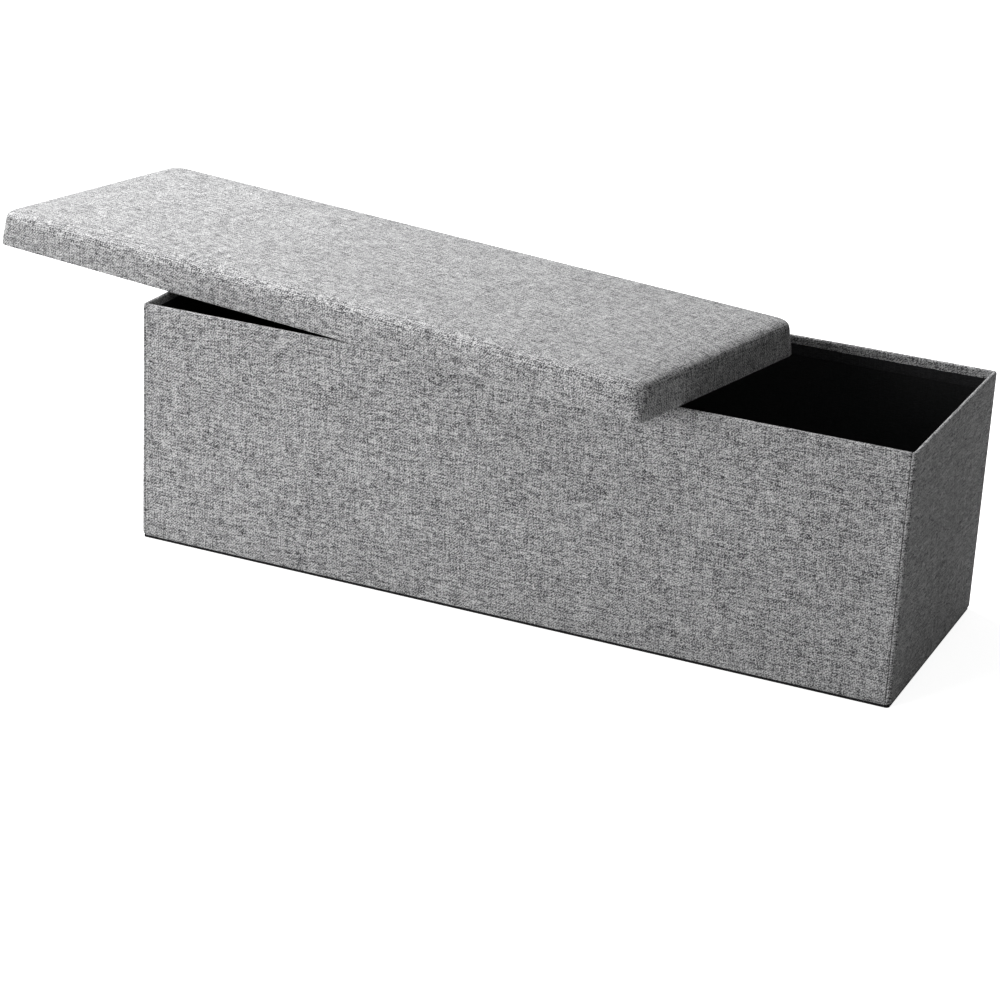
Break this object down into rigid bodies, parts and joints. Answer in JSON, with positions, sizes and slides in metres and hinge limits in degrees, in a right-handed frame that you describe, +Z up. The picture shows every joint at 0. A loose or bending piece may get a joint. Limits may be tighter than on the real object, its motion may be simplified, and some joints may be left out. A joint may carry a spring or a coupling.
{
  "type": "folding storage bench",
  "caption": "Long low fabric-covered storage bench: a hinged collapsible box with a black lining and a loose padded lid lying askew on its rim, one end open.",
  "frame": {"origin": "on the floor, under the middle of the box's footprint", "axes": "+Z up, -Y towards the front of the bench, +X along its length to the right-hand end, which stands open"},
  "size_m": [1.4109, 0.5774, 0.4003],
  "materials": {
    "heather_fabric": "matte",
    "black_lining": "matte",
    "black_tape": "matte",
    "panel_board": "matte",
    "foam": "matte"
  },
  "bodies": {
    "back_wall": {"back_cover": "heather_fabric", "back_board": "panel_board", "back_tape": "black_tape", "back_lining": "black_lining", "base_cloth": "black_lining", "base_board": "panel_board"},
    "left_rear_half": {"left_rear_cover": "heather_fabric", "left_rear_board": "panel_board", "left_rear_tape": "black_tape", "left_rear_lining": "black_lining"},
    "left_front_half": {"left_front_cover": "heather_fabric", "left_front_board": "panel_board", "left_front_tape": "black_tape", "left_front_lining": "black_lining"},
    "front_wall": {"front_cover": "heather_fabric", "front_board": "panel_board", "front_tape": "black_tape", "front_lining": "black_lining"},
    "right_rear_half": {"right_rear_cover": "heather_fabric", "right_rear_board": "panel_board", "right_rear_tape": "black_tape", "right_rear_lining": "black_lining"},
    "right_front_half": {"right_front_cover": "heather_fabric", "right_front_board": "panel_board", "right_front_tape": "black_tape", "right_front_lining": "black_lining"},
    "lid": {"lid_cover": "heather_fabric", "lid_board": "panel_board", "lid_foam": "foam", "lid_underside": "black_lining"}
  },
  "joints": [
    {"name": "left_rear_fold", "type": "hinge", "parent": "back_wall", "child": "left_rear_half", "pos_m": [-0.544, 0.1787, 0], "axis": [0, 0, 1], "range_deg": [0, 90]},
    {"name": "left_centre_fold", "type": "hinge", "parent": "left_rear_half", "child": "left_front_half", "pos_m": [-0.55015, 0, 0], "axis": [0, 0, 1], "range_deg": [-186, 4]},
    {"name": "front_left_fold", "type": "hinge", "parent": "left_front_half", "child": "front_wall", "pos_m": [-0.544, -0.1787, 0], "axis": [0, 0, 1], "range_deg": [-2, 94]},
    {"name": "right_rear_fold", "type": "hinge", "parent": "back_wall", "child": "right_rear_half", "pos_m": [0.544, 0.1787, 0], "axis": [0, 0, 1], "range_deg": [-94, 2]},
    {"name": "right_centre_fold", "type": "hinge", "parent": "right_rear_half", "child": "right_front_half", "pos_m": [0.55015, 0, 0], "axis": [0, 0, 1], "range_deg": [-4, 186]},
    {"name": "lid_slide", "type": "hinge", "parent": "back_wall", "child": "lid", "pos_m": [-0.06601, 1.46083, 0], "axis": [0, 0, 1], "range_deg": [-7, 11.2]}
  ],
  "couplings": [
    {"joint": "left_centre_fold", "follows": "left_rear_fold", "ratio": -2},
    {"joint": "front_left_fold", "follows": "left_rear_fold", "ratio": 1},
    {"joint": "right_rear_fold", "follows": "left_rear_fold", "ratio": -1},
    {"joint": "right_centre_fold", "follows": "left_rear_fold", "ratio": 2}
  ]
}
